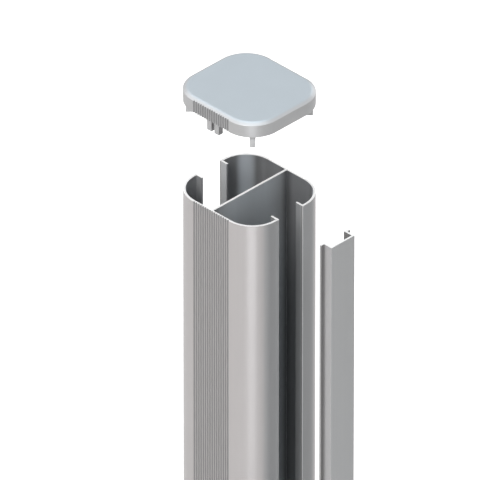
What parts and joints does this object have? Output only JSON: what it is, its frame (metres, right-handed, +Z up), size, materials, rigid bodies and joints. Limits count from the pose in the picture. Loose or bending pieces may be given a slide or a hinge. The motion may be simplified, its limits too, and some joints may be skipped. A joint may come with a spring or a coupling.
{
  "type": "fence post with cap and slot cover strip",
  "caption": "Rounded aluminium fence post extrusion with a panel slot in two opposite faces, shown with its plug-in cap lifted off and its snap-in slot cover strip drawn out.",
  "frame": {"origin": "middle of the post's foot, on its central web, at the level the post stands on", "axes": "+Z up along the post, +X out through the slot that the cover strip belongs to, +Y through one of the two fluted faces"},
  "size_m": [0.151, 0.086, 1.1472],
  "materials": {
    "post_aluminium": "satin silver anodised, drawn lines along its length, bright sawn ends",
    "strip_aluminium": "satin silver anodised, bright sawn ends",
    "cap_moulding": "silver-grey moulded plastic, fine matt texture"
  },
  "bodies": {
    "post": {"post_profile": "post_aluminium", "cover_strip": "strip_aluminium"},
    "cap": {"cap": "cap_moulding"}
  },
  "joints": [
    {"name": "cap_slide", "type": "slide", "parent": "post", "child": "cap", "axis": [0, 0, 1], "range_m": [-0.0842, 0]}
  ]
}
